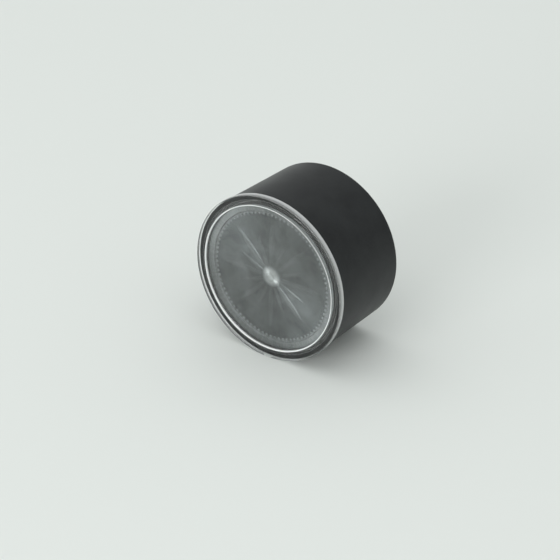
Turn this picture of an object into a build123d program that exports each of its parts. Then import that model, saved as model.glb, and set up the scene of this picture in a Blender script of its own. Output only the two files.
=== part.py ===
"""Coin capsule: a black moulded cup with a clear lid that plugs into its mouth.

Seven coins lie in the cup on a foam pad, and the top one shows through the lid's window. The
capsule lies on its side, with its axis along Y and its lid towards -Y. The origin is the middle
of the cup's foot, and heights are measured from there towards the lid. All sizes are in
millimetres and degrees.
"""

import os
from math import radians, tan

from build123d import *

# ---- Coins ----
coin_count = 7
coin_diameter = 30.6
coin_thickness = 2.15
coin_edge_round = 0.15
coin_rim_width = 1.5
coin_field_depth = 0.25  # how far the field lies below the rim, on both faces
boss_diameter = 5.2
boss_height = 0.18
ray_count = 16
ray_start = 3.4  # from the coin's middle
ray_length = 8.8
ray_width = 1.3
ray_tip_width = 0.35
ray_height = 0.12

# ---- Foam pad ----
pad_thickness = 1.5
pad_edge_round = 0.25

# ---- Lid ----
window_thickness = 1.0
window_recess = 0.4  # how far the window lies below the lid's raised rim
window_edge_chamfer = 0.25
rim_width = 2.2
flange_overhang = 0.2  # past the cup's mouth all round
flange_front_round = 0.15
flange_back_round = 0.12
plug_wall = 0.7
plug_length = 3.0
plug_lead_in = 0.2
lid_gate_diameter = 1.6
lid_gate_height = 0.1

# ---- Cup ----
mouth_wall = 0.95
mouth_edge_chamfer = 0.15
floor_thickness = 2.0
floor_round = 0.4  # inside, between the floor and the bore
side_draft = 1.5
back_edge_round = 0.6
foot_width = 3.0
foot_recess = 0.5
cup_gate_diameter = 2.4
cup_gate_height = 0.25

# ---- Clearances ----
coin_clearance = 0.2  # between a coin's edge and the bore
coin_gap = 0.2  # between the top coin and the window
plug_clearance = 0.05  # a running fit, between the lid's ring and the cup's mouth
plug_end_gap = 0.2
pad_clearance = 0.1

# ---- Radii that follow ----
coin_radius = coin_diameter / 2
bore_radius = coin_radius + coin_clearance
pad_radius = bore_radius - floor_round - pad_clearance
ring_outer_radius = bore_radius + plug_wall
mouth_bore_radius = ring_outer_radius + plug_clearance
mouth_radius = mouth_bore_radius + mouth_wall
lid_radius = mouth_radius + flange_overhang

# ---- Heights that follow ----
pad_top = floor_thickness + pad_thickness
mouth_height = pad_top + coin_count * coin_thickness + coin_gap
shelf_height = mouth_height - plug_length - plug_end_gap
lid_height = window_thickness + window_recess
capsule_length = mouth_height + lid_height
back_radius = mouth_radius - mouth_height * tan(radians(side_draft))

# ---- Where sections are drawn: radius along X, height along -Y ----
half_section = Plane(origin=(0, 0, 0), x_dir=(1, 0, 0), z_dir=(0, 0, -1))
capsule_axis = Axis((0, 0, 0), (0, -1, 0))


def level(height):
    """The plane across the capsule at this height, facing the lid."""
    return Plane(origin=(0, -height, 0), x_dir=(1, 0, 0), z_dir=(0, -1, 0))


def end_faces(piece):
    """A piece's flat faces across the axis, from the lid's end to the foot."""
    return piece.faces().filter_by(Axis.Y).sort_by(Axis.Y)


def keep(piece, name):
    """Names a finished piece and writes it."""
    piece.part.label = name
    export_step(piece.part, f"parts/{name}.step")


def make_base_cup():
    """The cup: a drafted barrel with a plain bore, a wider mouth for the lid's ring and a foot."""
    with BuildPart() as base_cup:
        with BuildSketch(half_section):
            with BuildLine():
                Polyline(
                    (0, 0),
                    (back_radius, 0),
                    (mouth_radius, mouth_height),
                    (0, mouth_height),
                    close=True,
                )
            make_face()
        revolve(axis=capsule_axis)
        fillet(end_faces(base_cup)[-1].edges(), back_edge_round)
        with BuildSketch(level(0)):
            Circle(back_radius - foot_width)
        extrude(amount=foot_recess, mode=Mode.SUBTRACT)
        with BuildSketch(level(foot_recess)):
            Circle(cup_gate_diameter / 2)
        extrude(amount=-cup_gate_height)
        with BuildSketch(level(floor_thickness)):
            Circle(bore_radius)
        extrude(amount=mouth_height - floor_thickness, mode=Mode.SUBTRACT)
        fillet(base_cup.edges(Select.LAST).sort_by(Axis.Y)[-1], floor_round)
        with BuildSketch(level(shelf_height)):
            Circle(mouth_bore_radius)
        extrude(amount=mouth_height - shelf_height, mode=Mode.SUBTRACT)
        chamfer(end_faces(base_cup)[0].edges(), mouth_edge_chamfer)
    keep(base_cup, "base_cup")


def make_foam_pad():
    """The soft disc on the cup's floor, under the coins."""
    with BuildPart() as foam_pad:
        with BuildSketch(level(floor_thickness)):
            Circle(pad_radius)
        extrude(amount=pad_thickness)
        fillet(foam_pad.edges().filter_by(GeomType.CIRCLE), pad_edge_round)
    keep(foam_pad, "foam_pad")


def make_coin(number):
    """One coin of the stack, counted from the pad: a rim, a sunk field, a boss and rays."""
    back = pad_top + (number - 1) * coin_thickness
    front = back + coin_thickness
    field_radius = coin_radius - coin_rim_width
    with BuildPart() as coin:
        with BuildSketch(level(back)):
            Circle(coin_radius)
        extrude(amount=coin_thickness)
        fillet(coin.edges().filter_by(GeomType.CIRCLE), coin_edge_round)
        with BuildSketch(level(back)):
            Circle(field_radius)
        extrude(amount=coin_field_depth, mode=Mode.SUBTRACT)
        with BuildSketch(level(front)):
            Circle(field_radius)
        extrude(amount=-coin_field_depth, mode=Mode.SUBTRACT)
        with BuildSketch(level(front - coin_field_depth)):
            Circle(boss_diameter / 2)
        extrude(amount=boss_height)
        with BuildSketch(level(front - coin_field_depth)):
            with PolarLocations(ray_start, ray_count):
                Polygon(
                    (0, -ray_width / 2),
                    (ray_length, -ray_tip_width / 2),
                    (ray_length, ray_tip_width / 2),
                    (0, ray_width / 2),
                    align=None,
                )
        extrude(amount=ray_height)
    keep(coin, f"coin_{number}")


def make_lid():
    """The clear lid: a flange with a raised rim and a sunk window, and a ring that plugs in."""
    with BuildPart() as lid:
        with BuildSketch(level(mouth_height)):
            Circle(lid_radius)
        extrude(amount=lid_height)
        fillet(end_faces(lid)[0].edges(), flange_front_round)
        fillet(end_faces(lid)[-1].edges(), flange_back_round)
        with BuildSketch(level(capsule_length)):
            Circle(lid_radius - rim_width)
        extrude(amount=-window_recess, mode=Mode.SUBTRACT)
        chamfer(end_faces(lid)[0].inner_wires().edges(), window_edge_chamfer)
        with BuildSketch(level(mouth_height)):
            Circle(ring_outer_radius)
            Circle(bore_radius, mode=Mode.SUBTRACT)
        extrude(amount=-plug_length)
        chamfer(end_faces(lid)[-1].edges(), plug_lead_in)
        with BuildSketch(level(mouth_height)):
            Circle(lid_gate_diameter / 2)
        extrude(amount=-lid_gate_height)
    keep(lid, "lid")


os.makedirs("parts", exist_ok=True)
make_base_cup()
make_foam_pad()
for coin_number in range(1, coin_count + 1):
    make_coin(coin_number)
make_lid()
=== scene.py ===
"""Looks of a deep coin capsule: a black moulded cup, a clear plug-in lid, seven coins and a foam pad.

The capsule lies on its side with its axis along Y and its lid towards -Y. Heights are measured from
the cup's foot towards the lid, and radii from the axis, both in millimetres unless said otherwise.
"""

import math
import random

import bmesh
import bpy
from mathutils import Matrix, Vector


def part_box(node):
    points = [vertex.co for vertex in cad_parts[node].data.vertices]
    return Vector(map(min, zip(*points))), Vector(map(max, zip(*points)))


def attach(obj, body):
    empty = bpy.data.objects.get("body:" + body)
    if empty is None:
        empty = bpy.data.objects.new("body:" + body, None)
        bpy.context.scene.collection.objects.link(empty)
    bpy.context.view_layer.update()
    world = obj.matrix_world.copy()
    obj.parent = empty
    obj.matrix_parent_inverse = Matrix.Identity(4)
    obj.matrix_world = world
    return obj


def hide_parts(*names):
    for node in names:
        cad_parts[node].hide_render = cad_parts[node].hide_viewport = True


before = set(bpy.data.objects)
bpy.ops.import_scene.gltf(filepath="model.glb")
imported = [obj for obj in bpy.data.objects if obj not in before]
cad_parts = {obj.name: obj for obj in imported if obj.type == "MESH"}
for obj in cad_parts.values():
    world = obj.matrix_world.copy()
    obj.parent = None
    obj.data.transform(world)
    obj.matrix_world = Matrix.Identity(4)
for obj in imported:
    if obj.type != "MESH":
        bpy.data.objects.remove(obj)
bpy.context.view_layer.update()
MM = 0.001


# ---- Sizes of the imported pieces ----

lid_low, lid_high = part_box("lid")
cup_low, cup_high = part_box("base_cup")
pad_low, pad_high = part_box("foam_pad")
COIN_COUNT = sum(name.startswith("coin_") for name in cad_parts)
coin_boxes = {n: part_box(f"coin_{n}") for n in range(1, COIN_COUNT + 1)}

lid_radius = lid_high[0] / MM
capsule_length = -lid_low[1] / MM
plug_end_height = -lid_high[1] / MM
mouth_height = -cup_low[1] / MM
floor_height = -pad_high[1] / MM
pad_top_height = -pad_low[1] / MM
pad_radius = pad_high[0] / MM
coin_radius = coin_boxes[1][1][0] / MM
coin_thickness = (coin_boxes[1][1][1] - coin_boxes[1][0][1]) / MM

# ---- Moulded details that the boxes don't give ----

FLANGE_OVERHANG = 0.2
SIDE_DRAFT = math.radians(1.5)
COIN_CLEARANCE = 0.2
PLUG_WALL = 0.7
PLUG_CLEARANCE = 0.05
PLUG_END_GAP = 0.2
WINDOW_RECESS = 0.4
RIM_WIDTH = 2.2
FOOT_WIDTH = 3.0
FOOT_RECESS = 0.5
BACK_EASE = 0.6
SHARP_EASE = 0.06  # a moulded corner is never quite sharp
LID_GATE = (0.8, 0.1)  # radius and height of the mark of the moulding gate
CUP_GATE = (1.2, 0.25)

mouth_radius = lid_radius - FLANGE_OVERHANG
back_radius = mouth_radius - mouth_height * math.tan(SIDE_DRAFT)
bore_radius = coin_radius + COIN_CLEARANCE
ring_radius = bore_radius + PLUG_WALL
mouth_bore_radius = ring_radius + PLUG_CLEARANCE
shelf_height = plug_end_height - PLUG_END_GAP


# ---- Turned shapes ----


def eased(points, arc_steps=6, guard=0.07):
    """An outline of (height, radius, ease) corners, each rounded by its own ease.

    A guard point on each side of a rounding keeps the flats next to it shaded flat.
    """
    line = []
    for i, (h, r, ease) in enumerate(points):
        here = Vector((h, r))
        if ease <= 0 or i in (0, len(points) - 1):
            line.append(here)
            continue
        before = Vector(points[i - 1][:2]) - here
        after = Vector(points[i + 1][:2]) - here
        spare = min(before.length, after.length) * 0.45
        before.normalize()
        after.normalize()
        half = before.angle(after) / 2
        reach = min(ease / math.tan(half), spare)
        radius = reach * math.tan(half)
        middle = here + (before + after).normalized() * (radius / math.sin(half))
        start, end = here + before * reach - middle, here + after * reach - middle
        side = min(guard, spare)
        line.append(here + before * (reach + side))
        turn = start.angle_signed(end)
        for k in range(arc_steps + 1):
            a = -turn * k / arc_steps
            c, s = math.cos(a), math.sin(a)
            line.append(middle + Vector((start.x * c - start.y * s, start.x * s + start.y * c)))
        line.append(here + after * (reach + side))
    return line


def turned(name, line, columns=160):
    """A closed piece turned about the capsule's axis from an outline that starts and ends on it."""
    shape = bmesh.new()
    rings = []
    for h, r in line:
        if r < 1e-6:
            rings.append([shape.verts.new((0, -h * MM, 0))])
            continue
        rings.append(
            [
                shape.verts.new(
                    (
                        r * MM * math.cos(2 * math.pi * k / columns),
                        -h * MM,
                        r * MM * math.sin(2 * math.pi * k / columns),
                    )
                )
                for k in range(columns)
            ]
        )
    for low, high in zip(rings, rings[1:]):
        for k in range(columns):
            n = (k + 1) % columns
            face = [low[k % len(low)], low[n % len(low)], high[n % len(high)], high[k % len(high)]]
            face = list(dict.fromkeys(face))
            if len(face) > 2:
                shape.faces.new(face)
    bmesh.ops.remove_doubles(shape, verts=shape.verts, dist=1e-7)
    bmesh.ops.recalc_face_normals(shape, faces=shape.faces)
    mesh = bpy.data.meshes.new(name)
    shape.to_mesh(mesh)
    shape.free()
    mesh.shade_smooth()
    piece = bpy.data.objects.new(name, mesh)
    bpy.context.scene.collection.objects.link(piece)
    return piece


# ---- Node helpers ----


def add(tree, kind, **settings):
    """A node of that kind, with its settings."""
    node = tree.nodes.new(kind)
    for key, value in settings.items():
        setattr(node, key, value)
    return node


def feed(tree, socket, value):
    """Links or sets a socket."""
    if isinstance(value, bpy.types.NodeSocket):
        tree.links.new(value, socket)
    elif value is not None:
        socket.default_value = value


def calc(tree, operation, *values, clamp=False):
    """A Math node's result."""
    node = add(tree, "ShaderNodeMath", operation=operation, use_clamp=clamp)
    for socket, value in zip(node.inputs, values):
        feed(tree, socket, value)
    return node.outputs[0]


def ramp(tree, value, low, high, to_low=0.0, to_high=1.0, smooth=True):
    """Value turned from one range to another, held at its ends."""
    node = add(tree, "ShaderNodeMapRange", interpolation_type="SMOOTHSTEP" if smooth else "LINEAR")
    for socket, v in zip(node.inputs, (value, low, high, to_low, to_high)):
        feed(tree, socket, v)
    return node.outputs[0]


def blend_colour(tree, amount, low, high):
    """A colour between two."""
    node = add(tree, "ShaderNodeMix", data_type="RGBA")
    feed(tree, node.inputs[0], amount)
    feed(tree, node.inputs[6], low)
    feed(tree, node.inputs[7], high)
    return node.outputs[2]


def noise(tree, where, scale, detail=3.0, roughness=0.5, distortion=0.0):
    """A noise's value."""
    node = add(tree, "ShaderNodeTexNoise")
    feed(tree, node.inputs["Vector"], where)
    feed(tree, node.inputs["Scale"], scale)
    feed(tree, node.inputs["Detail"], detail)
    feed(tree, node.inputs["Roughness"], roughness)
    feed(tree, node.inputs["Distortion"], distortion)
    return node.outputs[0]


def vector(tree, x, y, z):
    """A vector from three values."""
    node = add(tree, "ShaderNodeCombineXYZ")
    for socket, value in zip(node.inputs, (x, y, z)):
        feed(tree, socket, value)
    return node.outputs[0]


def bumped(tree, height, distance, strength=1.0, normal=None):
    """A bump's normal. Distance is in metres."""
    node = add(tree, "ShaderNodeBump")
    feed(tree, node.inputs["Strength"], strength)
    feed(tree, node.inputs["Distance"], distance)
    feed(tree, node.inputs["Height"], height)
    feed(tree, node.inputs["Normal"], normal)
    return node.outputs[0]


def new_material(name):
    """An empty material: its tree, its principled shader and its output."""
    material = bpy.data.materials.new(name)
    material.use_nodes = True
    tree = material.node_tree
    tree.nodes.clear()
    shader = add(tree, "ShaderNodeBsdfPrincipled")
    output = add(tree, "ShaderNodeOutputMaterial")
    tree.links.new(shader.outputs[0], output.inputs["Surface"])
    return material, tree, shader, output


def length(tree, a, b):
    """The length of two values at right angles."""
    return calc(tree, "SQRT", calc(tree, "ADD", calc(tree, "MULTIPLY", a, a), calc(tree, "MULTIPLY", b, b)))


def polar(tree):
    """The place itself, its radius from the capsule's axis, its angle round it and its Y."""
    where = add(tree, "ShaderNodeTexCoord").outputs["Object"]
    split = add(tree, "ShaderNodeSeparateXYZ")
    tree.links.new(where, split.inputs[0])
    x, y, z = split.outputs
    return where, length(tree, x, z), calc(tree, "ARCTAN2", z, x), y


# ---- Finishes ----


def black_plastic():
    """Satin black moulding with a fine spark-eroded grain, faint hairlines and a rubbed back edge."""
    material, tree, shader, _ = new_material("black_plastic")
    where, radius, angle, y = polar(tree)
    grain = noise(tree, where, 5200.0, 3.0, 0.6)
    cloud = noise(tree, where, 160.0, 4.0, 0.55)
    smudge = noise(tree, where, 55.0, 3.0, 0.5, 0.6)
    shade = calc(tree, "ADD", calc(tree, "MULTIPLY", cloud, 0.6), calc(tree, "MULTIPLY", grain, 0.4))
    height = calc(tree, "MULTIPLY", y, -1.0)
    near_back = ramp(tree, height, 0.1 * MM, 0.75 * MM, 1.0, 0.0)
    outer = ramp(tree, radius, (back_radius - 0.9) * MM, (back_radius - 0.25) * MM)
    chipped = noise(tree, where, 700.0, 5.0, 0.7, 0.3)
    worn = calc(tree, "MULTIPLY", calc(tree, "MULTIPLY", near_back, outer), ramp(tree, chipped, 0.35, 0.7))
    stretched = vector(tree, calc(tree, "MULTIPLY", angle, 9.0), calc(tree, "MULTIPLY", y, 5200.0), radius)
    hairlines = ramp(tree, noise(tree, stretched, 1.0, 2.0, 0.5, 0.4), 0.66, 0.72)
    hairlines = calc(tree, "MULTIPLY", hairlines, ramp(tree, noise(tree, where, 75.0, 2.0), 0.5, 0.62))
    shade = calc(tree, "ADD", shade, calc(tree, "MULTIPLY", worn, 0.5))
    shade = calc(tree, "ADD", shade, calc(tree, "MULTIPLY", hairlines, 0.12))
    matt = ramp(tree, smudge, 0.3, 0.7, 0.36, 0.44)
    matt = calc(tree, "SUBTRACT", matt, calc(tree, "MULTIPLY", worn, 0.12))
    matt = calc(tree, "SUBTRACT", matt, calc(tree, "MULTIPLY", hairlines, 0.04))
    feed(tree, shader.inputs["Roughness"], matt)
    colour = blend_colour(
        tree, ramp(tree, shade, 0.35, 1.0, smooth=False), (0.009, 0.010, 0.011, 1), (0.033, 0.036, 0.037, 1)
    )
    feed(tree, shader.inputs["Base Color"], colour)
    shader.inputs["Specular IOR Level"].default_value = 0.2
    shader.inputs["IOR"].default_value = 1.5
    feed(tree, shader.inputs["Normal"], bumped(tree, grain, 0.00002, 0.5))
    return material


def clear_plastic():
    """Clear polystyrene with faint wipe marks, that lets lamps through to the coins.

    The flange's side and the step round the window are partly frosted.
    """
    material, tree, shader, output = new_material("clear_plastic")
    where, radius, _, y = polar(tree)
    wipe = noise(tree, where, 90.0, 5.0, 0.6, 1.2)
    shader.inputs["Base Color"].default_value = (0.94, 0.955, 0.955, 1)
    shader.inputs["IOR"].default_value = 1.59
    wear = ramp(tree, wipe, 0.35, 0.75, 0.01, 0.05)
    height = calc(tree, "MULTIPLY", y, -1.0)
    side = ramp(tree, radius, (lid_radius - 0.14) * MM, (lid_radius - 0.04) * MM)
    toward_front = ramp(tree, height, (mouth_height + 0.45) * MM, (mouth_height + 1.25) * MM, 1.0, 0.3)
    side = calc(tree, "MULTIPLY", side, toward_front)
    window_radius = lid_radius - RIM_WIDTH
    step = ramp(tree, radius, (window_radius - 0.05) * MM, (window_radius + 0.02) * MM)
    past_step = ramp(tree, radius, (window_radius + 0.22) * MM, (window_radius + 0.3) * MM, 1.0, 0.0)
    step = calc(tree, "MULTIPLY", step, past_step)
    in_front = calc(tree, "GREATER_THAN", height, (capsule_length - WINDOW_RECESS - 0.05) * MM)
    step = calc(tree, "MULTIPLY", step, in_front)
    matt = calc(tree, "MAXIMUM", calc(tree, "MULTIPLY", side, 0.66), step)
    feed(tree, shader.inputs["Roughness"], calc(tree, "ADD", wear, calc(tree, "MULTIPLY", matt, 0.3)))
    clearness = calc(tree, "SUBTRACT", 1.0, calc(tree, "MULTIPLY", matt, 0.8))
    feed(tree, shader.inputs["Transmission Weight"], clearness)
    clear = add(tree, "ShaderNodeBsdfTransparent")
    clear.inputs[0].default_value = (0.93, 0.95, 0.945, 1)
    lamps = add(tree, "ShaderNodeLightPath")
    mix = add(tree, "ShaderNodeMixShader")
    tree.links.new(lamps.outputs["Is Shadow Ray"], mix.inputs[0])
    tree.links.new(shader.outputs[0], mix.inputs[1])
    tree.links.new(clear.outputs[0], mix.inputs[2])
    tree.links.new(mix.outputs[0], output.inputs["Surface"])
    return material


def coin_silver():
    """Struck silver: radial flow lines from the strike, and grey toning in the low places."""
    material, tree, shader, _ = new_material("coin_silver")
    where, radius, angle, y = polar(tree)
    turns = calc(tree, "MULTIPLY", angle, 38.0)
    flow = noise(tree, vector(tree, turns, calc(tree, "MULTIPLY", radius, 260.0), y), 1.0, 4.0, 0.6)
    patches = noise(tree, where, 150.0, 5.0, 0.62, 0.5)
    raised = add(tree, "ShaderNodeAttribute", attribute_name="raised").outputs["Fac"]
    toning = blend_colour(
        tree, ramp(tree, patches, 0.3, 0.7), (0.052, 0.059, 0.061, 1), (0.148, 0.161, 0.163, 1)
    )
    rubbed = calc(tree, "MULTIPLY", raised, ramp(tree, flow, 0.25, 0.75, 0.45, 1.0))
    feed(tree, shader.inputs["Base Color"], blend_colour(tree, rubbed, toning, (0.70, 0.72, 0.72, 1)))
    shader.inputs["Metallic"].default_value = 1.0
    shader.inputs["Anisotropic"].default_value = 0.8
    feed(tree, shader.inputs["Roughness"], ramp(tree, flow, 0.3, 0.7, 0.40, 0.50))
    outward = add(tree, "ShaderNodeVectorMath", operation="CROSS_PRODUCT")
    feed(tree, outward.inputs[0], where)
    outward.inputs[1].default_value = (0, 1, 0)
    feed(tree, shader.inputs["Tangent"], outward.outputs[0])
    feed(tree, shader.inputs["Normal"], bumped(tree, flow, 0.00003, 0.5))
    return material


def black_foam():
    """Closed-cell foam: dark, dry and pitted."""
    material, tree, shader, _ = new_material("black_foam")
    where = add(tree, "ShaderNodeTexCoord").outputs["Object"]
    cells = add(tree, "ShaderNodeTexVoronoi", feature="SMOOTH_F1")
    feed(tree, cells.inputs["Vector"], where)
    cells.inputs["Scale"].default_value = 3200.0
    cloud = noise(tree, where, 400.0, 3.0, 0.5)
    feed(
        tree,
        shader.inputs["Base Color"],
        blend_colour(tree, cloud, (0.018, 0.018, 0.019, 1), (0.045, 0.045, 0.047, 1)),
    )
    shader.inputs["Roughness"].default_value = 0.9
    shader.inputs["Sheen Weight"].default_value = 0.3
    feed(tree, shader.inputs["Normal"], bumped(tree, cells.outputs[0], 0.0001, 0.6))
    return material


# ---- Pieces ----


def make_cup():
    """The black cup."""
    gate_radius, gate_height = CUP_GATE
    foot_radius = back_radius - FOOT_WIDTH
    outline = [
        (FOOT_RECESS - gate_height, 0, 0),
        (FOOT_RECESS - gate_height, gate_radius, SHARP_EASE),
        (FOOT_RECESS, gate_radius, SHARP_EASE),
        (FOOT_RECESS, foot_radius, SHARP_EASE),
        (0, foot_radius, SHARP_EASE),
        (0, back_radius, BACK_EASE),
        (mouth_height, mouth_radius, 0.15),
        (mouth_height, mouth_bore_radius, 0.15),
        (shelf_height, mouth_bore_radius, SHARP_EASE),
        (shelf_height, bore_radius, SHARP_EASE),
        (floor_height, bore_radius, 0.4),
        (floor_height, 0, 0),
    ]
    cup = turned("black_cup", eased(outline))
    cup.data.materials.append(black_plastic())
    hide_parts("base_cup")
    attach(cup, "cup")


def make_lid():
    """The clear lid."""
    gate_radius, gate_height = LID_GATE
    window_radius = lid_radius - RIM_WIDTH
    outline = [
        (mouth_height - gate_height, 0, 0),
        (mouth_height - gate_height, gate_radius, SHARP_EASE),
        (mouth_height, gate_radius, SHARP_EASE),
        (mouth_height, bore_radius, SHARP_EASE),
        (plug_end_height, bore_radius, 0.2),
        (plug_end_height, ring_radius, 0.2),
        (mouth_height, ring_radius, SHARP_EASE),
        (mouth_height, lid_radius, 0.12),
        (capsule_length, lid_radius, 0.15),
        (capsule_length, window_radius, 0.25),
        (capsule_length - WINDOW_RECESS, window_radius, 0.12),
        (capsule_length - WINDOW_RECESS, 0, 0),
    ]
    lid = turned("clear_lid", eased(outline))
    lid.data.materials.append(clear_plastic())
    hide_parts("lid")
    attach(lid, "lid")


def make_pad():
    """The foam disc under the coins."""
    outline = [
        (floor_height, 0, 0),
        (floor_height, pad_radius, 0.25),
        (pad_top_height, pad_radius, 0.25),
        (pad_top_height, 0, 0),
    ]
    pad = turned("foam_disc", eased(outline), 96)
    pad.data.materials.append(black_foam())
    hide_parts("foam_pad")
    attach(pad, "cup")


COLUMNS_PER_REED = 3
REED_COUNT = 150
COIN_RIM = 1.5
FIELD_DEPTH = 0.25


def struck_relief():
    """The tree that strikes a coin blank: a sunburst on the faces, and reeds round the edge."""
    tree = bpy.data.node_groups.new("struck_relief", "GeometryNodeTree")
    face = tree.interface
    face.new_socket("Blank", in_out="INPUT", socket_type="NodeSocketGeometry")
    sizes = {
        "Rays": 16.0,
        "Ray height": 0.12 * MM,
        "Ray start": 2.9 * MM,
        "Ray tip": 12.2 * MM,
        "Boss radius": 2.3 * MM,
        "Boss height": 0.17 * MM,
        "Ring radius": 12.75 * MM,
        "Ring height": 0.09 * MM,
        "Reeds": float(REED_COUNT),
        "Reed depth": 0.09 * MM,
        "Beads": 84.0,
        "Bead radius": 0.3 * MM,
        "Bead ring": 13.35 * MM,
        "Field level": (coin_thickness / 2 - FIELD_DEPTH) * MM,
    }
    for name, value in sizes.items():
        socket = face.new_socket(name, in_out="INPUT", socket_type="NodeSocketFloat")
        socket.default_value = value
    face.new_socket("Metal", in_out="INPUT", socket_type="NodeSocketMaterial")
    face.new_socket("Coin", in_out="OUTPUT", socket_type="NodeSocketGeometry")
    given = add(tree, "NodeGroupInput")
    g = given.outputs
    out = add(tree, "NodeGroupOutput")

    split = add(tree, "ShaderNodeSeparateXYZ")
    tree.links.new(add(tree, "GeometryNodeInputPosition").outputs[0], split.inputs[0])
    x, _, z = split.outputs
    radius = length(tree, x, z)
    angle = calc(tree, "ARCTAN2", z, x)
    side = add(tree, "GeometryNodeInputNamedAttribute", data_type="FLOAT")
    side.inputs["Name"].default_value = "side"
    side = side.outputs["Attribute"]

    # Rays: wide at the boss and narrow at the tip, every other one short
    wave = calc(tree, "COSINE", calc(tree, "MULTIPLY", angle, g["Rays"]))
    half_wave = calc(tree, "COSINE", calc(tree, "MULTIPLY", angle, calc(tree, "MULTIPLY", g["Rays"], 0.5)))
    along = ramp(tree, radius, g["Ray start"], g["Ray tip"], 0.0, 1.0, smooth=False)
    short = ramp(tree, half_wave, -0.2, 0.2, 0.34, 0.0)
    narrow = calc(tree, "ADD", calc(tree, "MULTIPLY", calc(tree, "ADD", along, short), 1.45), -0.45)
    edge = calc(tree, "SUBTRACT", wave, narrow)
    ray = ramp(tree, edge, 0.0, 0.42)
    begins = ramp(tree, radius, g["Boss radius"], g["Ray start"])
    rays = calc(tree, "MULTIPLY", calc(tree, "MULTIPLY", ray, begins), g["Ray height"])

    # Boss: a low dome with a rosette of eight
    rise = calc(tree, "DIVIDE", radius, g["Boss radius"])
    dome = calc(tree, "SUBTRACT", 1.0, calc(tree, "POWER", rise, 4.0), clamp=True)
    petal = calc(tree, "COSINE", calc(tree, "MULTIPLY", angle, 8.0))
    petal = calc(tree, "MULTIPLY", ramp(tree, petal, -1.0, 1.0, -0.35, 0.0), ramp(tree, rise, 0.15, 0.7))
    dome = calc(tree, "ADD", dome, calc(tree, "MULTIPLY", petal, dome))
    boss = calc(tree, "MULTIPLY", dome, g["Boss height"])

    # A fine ring outside the rays
    off = calc(tree, "ABSOLUTE", calc(tree, "SUBTRACT", radius, g["Ring radius"]))
    ring = calc(tree, "MULTIPLY", ramp(tree, off, 0.0, 0.22 * MM, 1.0, 0.0), g["Ring height"])

    relief = calc(tree, "MULTIPLY", calc(tree, "MAXIMUM", calc(tree, "MAXIMUM", rays, boss), ring), side)
    teeth = calc(tree, "COSINE", calc(tree, "MULTIPLY", angle, g["Reeds"]))
    on_edge = calc(tree, "SUBTRACT", 1.0, calc(tree, "ABSOLUTE", side), clamp=True)
    depth = calc(tree, "MULTIPLY", ramp(tree, teeth, -1.0, 1.0, smooth=False), g["Reed depth"])
    cut = calc(tree, "MULTIPLY", depth, on_edge)
    shrink = calc(tree, "DIVIDE", cut, calc(tree, "MAXIMUM", radius, 0.001))
    moved = vector(
        tree,
        calc(tree, "MULTIPLY", calc(tree, "MULTIPLY", x, shrink), -1.0),
        calc(tree, "MULTIPLY", relief, -1.0),
        calc(tree, "MULTIPLY", calc(tree, "MULTIPLY", z, shrink), -1.0),
    )
    struck = add(tree, "GeometryNodeSetPosition")
    tree.links.new(g["Blank"], struck.inputs["Geometry"])
    tree.links.new(moved, struck.inputs["Offset"])

    # What stands up is rubbed bright: the boss most, the rays and the rim less
    on_boss = ramp(tree, rise, 0.5, 1.05, 1.0, 0.0)
    on_rays = calc(tree, "MULTIPLY", calc(tree, "DIVIDE", rays, g["Ray height"]), 0.08)
    on_rim = calc(tree, "MULTIPLY", ramp(tree, side, 1.4, 1.9), 0.3)
    on_teeth = calc(tree, "MULTIPLY", ramp(tree, teeth, -0.6, 0.6, 0.6, 0.0), on_edge)
    on_face = calc(tree, "MAXIMUM", on_boss, on_rays)
    rubbed = calc(tree, "MAXIMUM", on_face, calc(tree, "MAXIMUM", on_rim, on_teeth))
    marked = add(tree, "GeometryNodeStoreNamedAttribute", data_type="FLOAT", domain="POINT")
    marked.inputs["Name"].default_value = "raised"
    tree.links.new(struck.outputs[0], marked.inputs["Geometry"])
    tree.links.new(rubbed, marked.inputs["Value"])

    # Beads inside the rim, on both faces
    circle = add(tree, "GeometryNodeMeshCircle", fill_type="NONE")
    tree.links.new(g["Beads"], circle.inputs["Vertices"])
    tree.links.new(g["Bead ring"], circle.inputs["Radius"])
    bead = add(tree, "GeometryNodeMeshUVSphere")
    bead.inputs["Segments"].default_value = 8
    bead.inputs["Rings"].default_value = 4
    tree.links.new(g["Bead radius"], bead.inputs["Radius"])
    beads_rubbed = add(tree, "GeometryNodeStoreNamedAttribute", data_type="FLOAT", domain="POINT")
    beads_rubbed.inputs["Name"].default_value = "raised"
    beads_rubbed.inputs["Value"].default_value = 0.35
    tree.links.new(bead.outputs["Mesh"], beads_rubbed.inputs["Geometry"])
    joined = add(tree, "GeometryNodeJoinGeometry")
    for sign in (-1.0, 1.0):
        lay = add(tree, "GeometryNodeTransform")
        lay.inputs["Rotation"].default_value = (math.pi / 2, 0, 0)
        level = calc(tree, "MULTIPLY", g["Field level"], sign)
        tree.links.new(vector(tree, 0.0, level, 0.0), lay.inputs["Translation"])
        tree.links.new(circle.outputs["Mesh"], lay.inputs["Geometry"])
        spread = add(tree, "GeometryNodeInstanceOnPoints")
        tree.links.new(lay.outputs[0], spread.inputs["Points"])
        tree.links.new(beads_rubbed.outputs[0], spread.inputs["Instance"])
        spread.inputs["Scale"].default_value = (1.0, 0.45, 1.0)
        tree.links.new(spread.outputs[0], joined.inputs[0])
    tree.links.new(marked.outputs[0], joined.inputs[0])
    real = add(tree, "GeometryNodeRealizeInstances")
    tree.links.new(joined.outputs[0], real.inputs[0])
    smooth = add(tree, "GeometryNodeSetShadeSmooth")
    tree.links.new(real.outputs[0], smooth.inputs[0])
    metal = add(tree, "GeometryNodeSetMaterial")
    tree.links.new(smooth.outputs[0], metal.inputs["Geometry"])
    tree.links.new(g["Metal"], metal.inputs["Material"])
    tree.links.new(metal.outputs[0], out.inputs["Coin"])
    return tree


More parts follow.
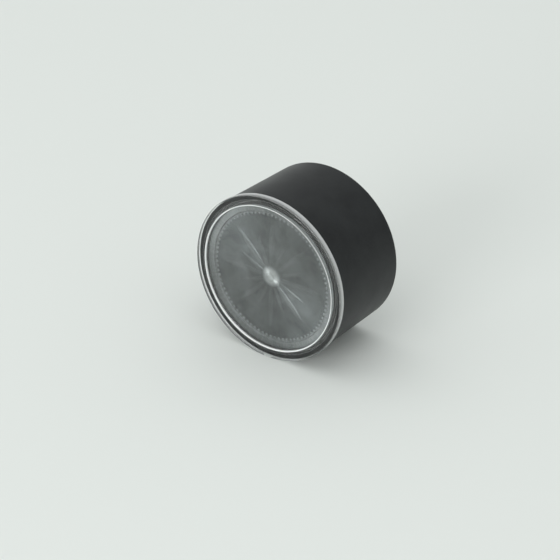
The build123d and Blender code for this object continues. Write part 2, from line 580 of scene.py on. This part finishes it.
def coin_blank():
    """An unstruck coin about the origin, with a rim, and a mark of which side each point is on."""
    half = coin_thickness / 2
    field = half - FIELD_DEPTH
    inner = coin_radius - COIN_RIM
    flat_rings = [inner * k / 30 for k in range(1, 30)]
    outline = [(-field, 0, 0)]
    outline += [(-field, r, 0) for r in flat_rings]
    outline += [(-field, inner, 0.08), (-half, inner + 0.12, 0.08), (-half, coin_radius, 0.15)]
    outline += [(half, coin_radius, 0.15), (half, inner + 0.12, 0.08), (field, inner, 0.08)]
    outline += [(field, r, 0) for r in reversed(flat_rings)]
    outline += [(field, 0, 0)]
    blank = turned("coin_blank", eased(outline, arc_steps=3, guard=0.03), REED_COUNT * COLUMNS_PER_REED)
    side = blank.data.attributes.new("side", "FLOAT", "POINT")
    for vertex in blank.data.vertices:
        x, y, z = vertex.co
        on_field = math.hypot(x, z) < (inner - 0.2) * MM
        side.data[vertex.index].value = 0.0
        if on_field:
            side.data[vertex.index].value = 1.0 if y < 0 else -1.0
        elif math.hypot(x, z) < (coin_radius - 0.01) * MM:
            side.data[vertex.index].value = 2.0
    return blank


def make_coins():
    """Seven struck coins, each turned its own way in the stack."""
    metal = coin_silver()
    blank = coin_blank()
    strike = blank.modifiers.new("strike", "NODES")
    tree = struck_relief()
    strike.node_group = tree
    for item in tree.interface.items_tree:
        if item.in_out == "INPUT" and item.name == "Metal":
            strike[item.identifier] = metal
    ready = blank.evaluated_get(bpy.context.evaluated_depsgraph_get())
    struck = bpy.data.meshes.new_from_object(ready)
    bpy.data.objects.remove(blank)
    turns = random.Random(7)
    for number, (low, high) in coin_boxes.items():
        mesh = struck.copy()
        mesh.name = f"struck_coin_{number}"
        middle = (Vector(low) + Vector(high)) / 2
        turn = 0.0 if number == COIN_COUNT else turns.uniform(0, 2 * math.pi)
        mesh.transform(Matrix.Translation((0, middle.y, 0)) @ Matrix.Rotation(turn, 4, "Y"))
        coin = bpy.data.objects.new(mesh.name, mesh)
        bpy.context.scene.collection.objects.link(coin)
        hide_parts(f"coin_{number}")
        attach(coin, f"coin_{number}")


make_cup()
make_pad()
make_coins()
make_lid()


# ---- Studio ----

ROOM_COLOUR = (0.93, 0.965, 0.955, 1)
ROOM_LIGHT = 0.67
lean = math.atan2(lid_radius - back_radius, mouth_height)  # it lies on its lid and its back edge


def studio_floor():
    """A pale floor under the lid's edge and the cup's back edge, which fades into the room far off."""
    bpy.ops.mesh.primitive_plane_add(size=40)
    floor = bpy.context.object
    floor.name = "studio_floor"
    floor.rotation_euler = (lean, 0, 0)
    floor.location = (0, -capsule_length * MM, -lid_radius * MM)
    material, tree, shader, output = new_material("pale_floor")
    shader.inputs["Base Color"].default_value = (0.78, 0.805, 0.78, 1)
    shader.inputs["Roughness"].default_value = 0.9
    shader.inputs["Specular IOR Level"].default_value = 0.1
    split = add(tree, "ShaderNodeSeparateXYZ")
    tree.links.new(add(tree, "ShaderNodeTexCoord").outputs["Object"], split.inputs[0])
    x, y, _ = split.outputs
    far = length(tree, x, y)
    backdrop = add(tree, "ShaderNodeEmission")
    backdrop.inputs[0].default_value = ROOM_COLOUR
    backdrop.inputs[1].default_value = ROOM_LIGHT
    fade = add(tree, "ShaderNodeMixShader")
    feed(tree, fade.inputs[0], ramp(tree, far, 0.5, 2.6))
    tree.links.new(shader.outputs[0], fade.inputs[1])
    tree.links.new(backdrop.outputs[0], fade.inputs[2])
    tree.links.new(fade.outputs[0], output.inputs["Surface"])
    floor.data.materials.append(material)


def soft_light(name, direction, distance, size, power):
    """A square lamp that looks at the capsule from a direction."""
    lamp = bpy.data.lights.new(name, "AREA")
    lamp.size = size
    lamp.energy = power
    holder = bpy.data.objects.new(name, lamp)
    away = Vector(direction).normalized()
    holder.location = Vector((0, -0.01, 0)) + away * distance
    holder.rotation_euler = away.to_track_quat("Z", "Y").to_euler()
    bpy.context.scene.collection.objects.link(holder)


def studio_world():
    """Even light from all round."""
    world = bpy.data.worlds.new("studio_world")
    world.use_nodes = True
    back = world.node_tree.nodes["Background"]
    back.inputs[0].default_value = ROOM_COLOUR
    back.inputs[1].default_value = ROOM_LIGHT
    bpy.context.scene.world = world


def camera():
    """A long lens, above the lid and to its right."""
    facing = Vector((-0.584, -0.359, 0.728)).normalized()  # the lid's outward side, seen by the camera
    elevation = math.radians(29.0)
    up = Vector((0, math.cos(elevation), math.sin(elevation)))  # true up, seen by the camera
    world_facing = Vector((0, -1, 0))
    world_up = Vector((0, -math.sin(lean), math.cos(lean)))

    def basis(a, b):
        third = a.cross(b).normalized()
        return Matrix((a, third, a.cross(third))).transposed()

    turn = basis(world_facing, world_up) @ basis(facing, up).transposed()
    lid_middle = Vector((0, -capsule_length * MM, 0))
    seen_at = Vector((-0.0187, -0.0203, -0.5918)) * (lid_radius / 18.0)
    place = lid_middle - turn @ seen_at
    aim = Vector((0, -0.016, -0.002))
    back = (place - aim).normalized()
    lens = bpy.data.cameras.new("camera")
    lens.lens = 190
    lens.clip_start = 0.01
    holder = bpy.data.objects.new("camera", lens)
    level = turn @ Vector((0, 1, 0))
    right = level.cross(back).normalized()
    rotation = Matrix((right, back.cross(right), back)).transposed()
    holder.matrix_world = Matrix.Translation(place) @ rotation.to_4x4()
    bpy.context.scene.collection.objects.link(holder)
    bpy.context.scene.camera = holder


studio_floor()
studio_world()
soft_light("key", (-0.3, 0.0, 1.0), 1.2, 2.0, 6.2)
soft_light("front", (0.03, -0.97, 0.25), 0.9, 0.45, 3.2)
bpy.context.scene.cycles.max_bounces = 24
bpy.context.scene.cycles.transmission_bounces = 24
camera()
bpy.context.scene.view_settings.view_transform = "Standard"
